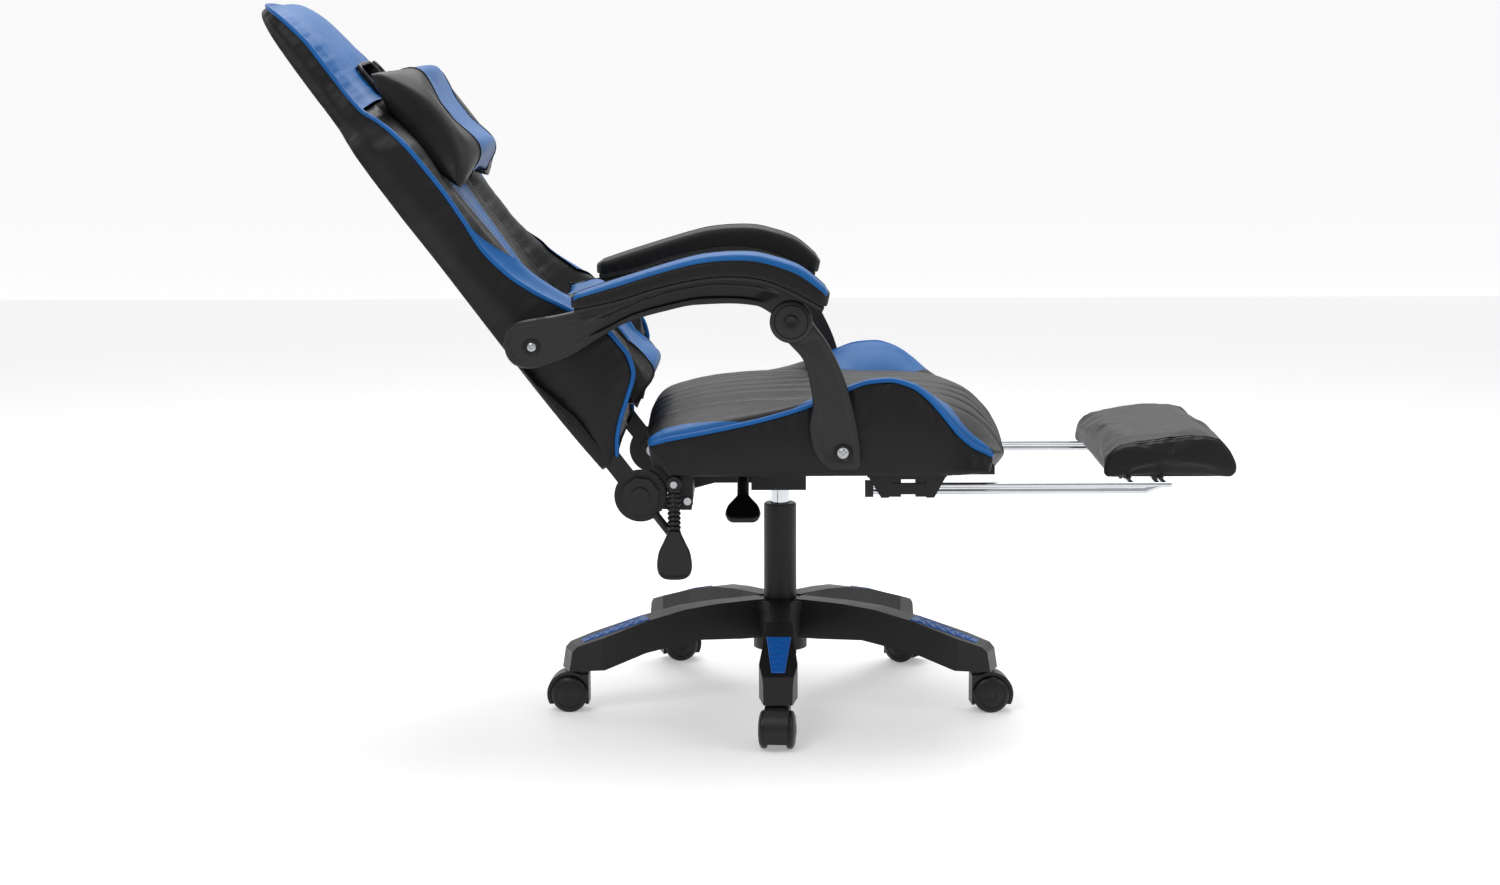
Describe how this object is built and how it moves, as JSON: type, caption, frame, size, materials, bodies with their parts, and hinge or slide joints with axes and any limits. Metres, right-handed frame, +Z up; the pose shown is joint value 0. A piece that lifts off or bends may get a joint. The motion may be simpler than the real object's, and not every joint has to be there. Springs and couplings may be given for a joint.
{
  "type": "gaming chair",
  "caption": "Reclining gaming chair on a five-arm caster base with a gas lift, linked padded armrests, loose pillows and a slide-out footrest.",
  "frame": {"origin": "on the floor, under the axis of the gas lift", "axes": "+X is forward, the way a sitter faces; +Z is up; the sitter's right is -Y"},
  "size_m": [1.4372, 0.7133, 1.0651],
  "materials": {
    "black_nylon": "matte moulded nylon",
    "blue_plastic": "satin moulded plastic with embossed chevrons",
    "painted_steel": "black powder coat",
    "slide_plastic": "matte black plastic",
    "wheel_plastic": "black nylon wheel",
    "chrome": "polished chrome",
    "bright_steel": "zinc-plated steel",
    "plywood": "plywood stained black",
    "black_leather": "matte black artificial leather",
    "blue_leather": "blue artificial leather",
    "arm_plastic": "satin textured plastic",
    "clip_steel": "black plastic strap"
  },
  "bodies": {
    "base": {"base_star": "black_nylon", "base_inlays": "blue_plastic", "column_tube": "painted_steel", "column_bush": "slide_plastic"},
    "rod": {"piston_rod": "bright_steel", "thrust_bearing": "bright_steel"},
    "seat": {"gas_cylinder": "chrome", "mechanism_plate": "painted_steel", "rear_beam": "painted_steel", "recliner_plate_right": "painted_steel", "recliner_plate_left": "painted_steel", "pivot_bolts": "bright_steel", "seat_board": "plywood", "seat_cushion": "black_leather", "seat_bolts": "bright_steel", "post_bolts": "bright_steel", "rail_bracket_right": "painted_steel", "rail_bracket_left": "painted_steel", "rail_guides": "slide_plastic"},
    "valve": {"valve_pin": "bright_steel"},
    "lift_lever": {"lift_rod": "painted_steel", "lift_grip": "slide_plastic"},
    "recline_lever": {"release_shaft": "bright_steel", "recline_grip": "slide_plastic"},
    "rails": {"rail_right": "chrome", "rail_left": "chrome", "rail_crossbars": "chrome", "rail_end_caps": "slide_plastic"},
    "footrest": {"footrest_board": "plywood", "footrest_cushion": "black_leather", "footrest_clips": "clip_steel"},
    "back": {"back_frame": "painted_steel", "back_bracket_right": "painted_steel", "back_bracket_left": "painted_steel", "recliner_covers": "slide_plastic", "back_cushion": "black_leather", "back_shell": "black_leather", "head_pillow": "blue_leather", "lumbar_pillow": "blue_leather", "armrest_bolts": "bright_steel"},
    "armrest_right": {"arm_frame_right": "arm_plastic", "arm_pad_right": "black_leather", "arm_cap_right": "arm_plastic"},
    "armrest_left": {"arm_frame_left": "arm_plastic", "arm_pad_left": "black_leather", "arm_cap_left": "arm_plastic"},
    "post_right": {"post_right": "arm_plastic"},
    "post_left": {"post_left": "arm_plastic"},
    "caster_1": {"caster_hood_1": "black_nylon"},
    "wheels_1": {"caster_wheels_1": "wheel_plastic"},
    "caster_2": {"caster_hood_2": "black_nylon"},
    "wheels_2": {"caster_wheels_2": "wheel_plastic"},
    "caster_3": {"caster_hood_3": "black_nylon"},
    "wheels_3": {"caster_wheels_3": "wheel_plastic"},
    "caster_4": {"caster_hood_4": "black_nylon"},
    "wheels_4": {"caster_wheels_4": "wheel_plastic"},
    "caster_5": {"caster_hood_5": "black_nylon"},
    "wheels_5": {"caster_wheels_5": "wheel_plastic"}
  },
  "joints": [
    {"name": "swivel", "type": "hinge", "parent": "base", "child": "rod", "pos_m": [0, 0, 0.075], "axis": [0, 0, 1], "continuous": true},
    {"name": "lift", "type": "slide", "parent": "rod", "child": "seat", "axis": [0, 0, 1], "range_m": [0, 0.08]},
    {"name": "valve_press", "type": "slide", "parent": "seat", "child": "valve", "axis": [0, 0, -1], "range_m": [0, 0.003]},
    {"name": "lift_lever", "type": "hinge", "parent": "seat", "child": "lift_lever", "pos_m": [-0.034, -0.047, 0.366], "axis": [1, 0, 0], "range_deg": [-3.5, 0]},
    {"name": "recline_lever", "type": "hinge", "parent": "seat", "child": "recline_lever", "pos_m": [-0.155, 0, 0.372], "axis": [0, -1, 0], "range_deg": [0, 16]},
    {"name": "footrest_slide", "type": "slide", "parent": "seat", "child": "rails", "axis": [-1, 0, 0], "range_m": [0, 0.12]},
    {"name": "footrest_flip", "type": "hinge", "parent": "rails", "child": "footrest", "pos_m": [0.559, 0, 0.363], "axis": [0, 1, 0], "range_deg": [0, 180]},
    {"name": "recline", "type": "hinge", "parent": "seat", "child": "back", "pos_m": [-0.204, 0, 0.352], "axis": [0, 1, 0], "range_deg": [0, 30]},
    {"name": "armrest_right_swing", "type": "hinge", "parent": "back", "child": "armrest_right", "pos_m": [-0.354, -0.28, 0.575], "axis": [0, 1, 0], "range_deg": [-24.5, 0.5]},
    {"name": "armrest_left_swing", "type": "hinge", "parent": "back", "child": "armrest_left", "pos_m": [-0.354, 0.28, 0.575], "axis": [0, 1, 0], "range_deg": [-24.5, 0.5]},
    {"name": "post_right_swing", "type": "hinge", "parent": "seat", "child": "post_right", "pos_m": [0.088, -0.28, 0.42], "axis": [0, 1, 0], "range_deg": [-0.5, 39.2]},
    {"name": "post_left_swing", "type": "hinge", "parent": "seat", "child": "post_left", "pos_m": [0.088, 0.28, 0.42], "axis": [0, 1, 0], "range_deg": [-0.5, 39.2]},
    {"name": "caster_1_swivel", "type": "hinge", "parent": "base", "child": "caster_1", "pos_m": [-0.00551, -0.31595, 0.064], "axis": [0, 0, 1], "continuous": true},
    {"name": "wheels_1_spin", "type": "hinge", "parent": "caster_1", "child": "wheels_1", "pos_m": [-0.007, -0.33289, 0.0275], "axis": [0.9962, -0.0872, 0], "continuous": true},
    {"name": "caster_2_swivel", "type": "hinge", "parent": "base", "child": "caster_2", "pos_m": [-0.30219, -0.09239, 0.064], "axis": [0, 0, 1], "continuous": true},
    {"name": "wheels_2_spin", "type": "hinge", "parent": "caster_2", "child": "wheels_2", "pos_m": [-0.31918, -0.0918, 0.0275], "axis": [-0.0349, -0.9994, 0], "continuous": true},
    {"name": "caster_3_swivel", "type": "hinge", "parent": "base", "child": "caster_3", "pos_m": [-0.18125, 0.25885, 0.064], "axis": [0, 0, 1], "continuous": true},
    {"name": "wheels_3_spin", "type": "hinge", "parent": "caster_3", "child": "wheels_3", "pos_m": [-0.16462, 0.26239, 0.0275], "axis": [-0.2079, 0.9781, 0], "continuous": true},
    {"name": "caster_4_swivel", "type": "hinge", "parent": "base", "child": "caster_4", "pos_m": [0.19017, 0.25237, 0.064], "axis": [0, 0, 1], "continuous": true},
    {"name": "wheels_4_spin", "type": "hinge", "parent": "caster_4", "child": "wheels_4", "pos_m": [0.20518, 0.24439, 0.0275], "axis": [0.4695, 0.8829, 0], "continuous": true},
    {"name": "caster_5_swivel", "type": "hinge", "parent": "base", "child": "caster_5", "pos_m": [0.29878, -0.10288, 0.064], "axis": [0, 0, 1], "continuous": true},
    {"name": "wheels_5_spin", "type": "hinge", "parent": "caster_5", "child": "wheels_5", "pos_m": [0.31574, -0.10169, 0.0275], "axis": [-0.0698, 0.9976, 0], "continuous": true}
  ],
  "couplings": [
    {"joint": "armrest_right_swing", "follows": "recline", "ratio": -0.795},
    {"joint": "armrest_left_swing", "follows": "recline", "ratio": -0.795},
    {"joint": "post_right_swing", "follows": "recline", "ratio": 1.28},
    {"joint": "post_left_swing", "follows": "recline", "ratio": 1.28},
    {"joint": "valve_press", "follows": "lift_lever", "m_per_rad": -0.047}
  ]
}
